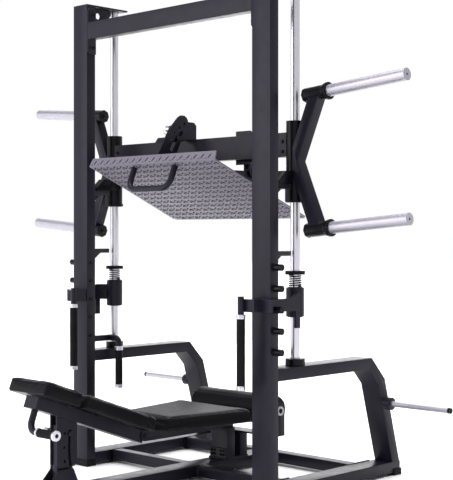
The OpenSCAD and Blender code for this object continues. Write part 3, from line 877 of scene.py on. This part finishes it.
def add_lug(bm, centre, along, out, length, width, height):
    """One raised lug whose crest is smaller than its foot."""
    across = out.cross(along).normalized()
    base = [bm.verts.new(centre + along * (t * length / 2) + across * (w * width / 2)
                         - out * 0.0003) for t, w in LUG_OUTLINE]
    crest = [bm.verts.new(centre + along * (t * length * 0.36)
                          + across * (w * width * 0.26) + out * height)
             for t, w in LUG_OUTLINE]
    count = len(LUG_OUTLINE)
    for k in range(count):
        n = (k + 1) % count
        bm.faces.new((base[k], base[n], crest[n], crest[k]))
    bm.faces.new(crest)
    bm.faces.new(list(reversed(base)))


def tread_lugs():
    """Raised lugs in crossing pairs on the sole side of the foot plate and its lip."""
    right = Vector((1, 0, 0))
    down = Vector((0, math.cos(PLATE_SLOPE), -math.sin(PLATE_SLOPE)))
    normal = Vector((0, -math.sin(PLATE_SLOPE), -math.cos(PLATE_SLOPE)))
    front = Vector((0, -0.090 + FRONT_Y, 1.401))
    bm = bmesh.new()
    row_pitch = 0.600 / TREAD_ROWS
    for j in range(TREAD_ROWS):
        s = (j + 0.5) * row_pitch + 0.002
        half = 0.403 + 0.023 * s / PLATE_LENGTH
        for i in range(TREAD_COLUMNS):
            x = (i - (TREAD_COLUMNS - 1) / 2) * (2 * half - 0.012) / TREAD_COLUMNS
            middle = front + down * s + right * x
            for dx, ds, turn, length in CLUSTER:
                in_corner = s + ds > 0.585 and abs(x + dx) > half - 0.034
                if in_corner:
                    continue
                along = (right + down * turn).normalized()
                add_lug(bm, middle + right * dx + down * ds, along, normal, length, 0.0088,
                        0.0017)
    lip_up = -normal
    lip_out = -down
    for i in range(TREAD_COLUMNS):
        x = (i - (TREAD_COLUMNS - 1) / 2) * 0.0432
        along = (right * 0.75 + lip_up).normalized()
        add_lug(bm, front + lip_up * 0.019 + right * x, along, lip_out, 0.030, 0.0066, 0.0014)
        add_lug(bm, front + lip_up * 0.008 + right * (x - 0.018), right, lip_out, 0.008,
                0.0056, 0.0014)
    new_object("tread_lugs", mesh_from(bm, "tread_lugs"), LUG, "foot_plate", smooth=False)


tread_lugs()


# ------------------------------------------------------------------ hardware

INNER_X = 0.529                     # inner faces of the uprights
HORN_TILT = math.radians(4.8)


def frame_side_bolts(bm, side):
    """Bolts of one side: top gusset, cross tube flanges, seat post foot and side frame."""
    inward = (-side, 0, 0)
    bolted_x = side * (INNER_X - 0.008)
    for z in (1.970, 2.129):
        for y in (0.014, 0.036):
            add_hex_bolt(bm, Vector((bolted_x, FRONT_Y + y, z)), inward, 0.013, 0.007)
    for y in (0.152, 0.212, 0.643, 0.713):
        add_hex_bolt(bm, Vector((bolted_x, FRONT_Y + y, 0.038)), inward, 0.009, 0.006)
    for z in (0.084, 0.101):
        for x in (0.020, 0.038):
            add_hex_bolt(bm, Vector((side * x, FRONT_Y + 0.338, z)), (0, -1, 0), 0.010, 0.007)
    add_hex_bolt(bm, Vector((side * 0.530, FRONT_Y + 0.128, 0.598)), inward, 0.017, 0.008)


def carriage_side_bolts(bm, side):
    """Hub discs, bolts and end screws of one side's horns, and bolts at the beam's end."""
    outward = Vector((side * math.cos(HORN_TILT), 0, math.sin(HORN_TILT)))
    for z, x in ((1.6674, 0.640), (1.1089, 0.652)):
        start = Vector((side * x, FRONT_Y + 0.2023, z))
        inner = axis_matrix(start + outward * 0.008, -outward)
        add_lathe(bm, closed([(0.0315, -0.006), (0.0315, 0.003), (0.0290, 0.0045)]), inner, 8)
        add_hex_bolt(bm, start + outward * 0.0036, -outward, 0.016, 0.009)
        add_lathe(bm, rounded_rod(0.0048, -0.0038, -0.0008, 0.0006),
                  axis_matrix(start + outward * 0.518, outward), 20)
    for z in (1.441, 1.483):
        add_hex_bolt(bm, Vector((side * 0.528, FRONT_Y + 0.1873, z)), (0, -1, 0), 0.013, 0.008)


def axle_discs(bm):
    """Rounded discs on both ends of the roller's axle."""
    low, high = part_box("roller_axle")
    for side, x in ((-1, low.x), (1, high.x)):
        end = Vector((x - side * 0.0005, (low.y + high.y) / 2, (low.z + high.z) / 2))
        add_lathe(bm, rounded_rod(0.0115, 0, 0.0022, 0.0008), axis_matrix(end, (side, 0, 0)),
                  32)


def hardware():
    """Hexagon bolts in place of the plain CAD ones, and more where the joints need them."""
    frame_bm, carriage_bm = bmesh.new(), bmesh.new()
    for side in (-1, 1):
        frame_side_bolts(frame_bm, side)
        carriage_side_bolts(carriage_bm, side)
    axle_discs(frame_bm)
    bolts = new_object("frame_bolt_heads", mesh_from(frame_bm, "frame_bolt_heads"), BLACK,
                       "frame_bolts", angle=25)
    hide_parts("frame_bolts")
    new_object("carriage_bolt_heads", mesh_from(carriage_bm, "carriage_bolt_heads"), BLACK,
               "carriage_beam", angle=25)


hardware()


def flange_edges():
    """Flange plates of the cross tubes, standing a little proud of the base rails."""
    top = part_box("base_rail_right")[1].z
    bm = bmesh.new()
    for side in (-1, 1):
        for low_y, high_y in ((0.132, 0.235), (0.630, 0.790)):
            corners = bmesh.ops.create_cube(bm, size=1)["verts"]
            size = Vector((0.0084, high_y - low_y, 0.058))
            middle = Vector((side * 0.5248, FRONT_Y + (low_y + high_y) / 2,
                             top + 0.0025 - size.z / 2))
            for v in corners:
                v.co = middle + Vector(a * b for a, b in zip(v.co, size))
    bmesh.ops.bevel(bm, geom=list(bm.edges), offset=0.0012, segments=2, affect="EDGES")
    new_object("flange_edges", mesh_from(bm, "flange_edges"), BLACK, "cross_tube_rear",
               angle=30)


flange_edges()


def stop_springs():
    """Coil springs with closed end turns."""
    wire = 0.0024                   # radius of the wire
    coil_radius = 0.0255
    end_turns, middle_turns = 0.8, 4.2
    turns = middle_turns + 2 * end_turns
    per_turn = 40
    end_rise = end_turns * wire * 2.05
    for side_name in SIDES:
        node = "stop_spring_" + side_name
        low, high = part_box(node)
        height = high.z - low.z
        centre = Vector(((low.x + high.x) / 2, (low.y + high.y) / 2, low.z))
        middle_rise = height - 2 * wire - 2 * end_rise - 0.0004
        points = []
        for k in range(int(turns * per_turn) + 1):
            turn = k / per_turn
            climb = (end_rise * min(turn, end_turns) / end_turns
                     + middle_rise * min(max(turn - end_turns, 0), middle_turns) / middle_turns
                     + end_rise * max(turn - end_turns - middle_turns, 0) / end_turns)
            a = 2 * math.pi * turn
            points.append(centre + Vector((coil_radius * math.cos(a), coil_radius * math.sin(a),
                                           wire + 0.0002 + climb)))
        bm = bmesh.new()
        add_tube(bm, points, wire, 14)
        spring = new_object(node + "_coil", mesh_from(bm, node + "_coil"), BLACK, node,
                            angle=60)
        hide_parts(node)
        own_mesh(spring)


stop_springs()


def pull_rings():
    """Split rings on the knobs of the two pull pins."""
    for node in ("tilt_pull_pin", "backrest_pull_pin"):
        low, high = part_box(node)
        knob = Vector((low.x, (low.y + high.y) / 2, (low.z + high.z) / 2))
        eye = knob + Vector((-0.006, 0, 0))
        radius = 0.0135
        centre = eye + Vector((0, 0, -radius * 0.8))
        points = [centre + radius * Vector((0.25 * math.sin(a), math.sin(a), math.cos(a)))
                  for a in (2 * math.pi * k / 40 for k in range(40))]
        bm = bmesh.new()
        add_tube(bm, points, 0.0013, 10, loop=True)
        add_tube(bm, [knob + Vector((0.002, 0, 0)), eye + Vector((0.002, 0, 0)),
                      eye + Vector((-0.003, 0, 0))], 0.0035, 16)
        new_object(node + "_ring", mesh_from(bm, node + "_ring"), ZINC, node)


pull_rings()


def peg_tips():
    """Black end caps of the storage pegs, with a rounded rim."""
    low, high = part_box("storage_pegs")
    y, z = (low.y + high.y) / 2, (low.z + high.z) / 2
    bm = bmesh.new()
    for side, x in ((-1, low.x), (1, high.x)):
        m = axis_matrix(Vector((x - side * 0.0145, y, z)), (side, 0, 0))
        add_lathe(bm, rounded_rod(0.0127, 0, 0.0152, 0.002), m, 36)
    new_object("storage_peg_tips", mesh_from(bm, "storage_peg_tips"), FOOT, "storage_pegs")


peg_tips()
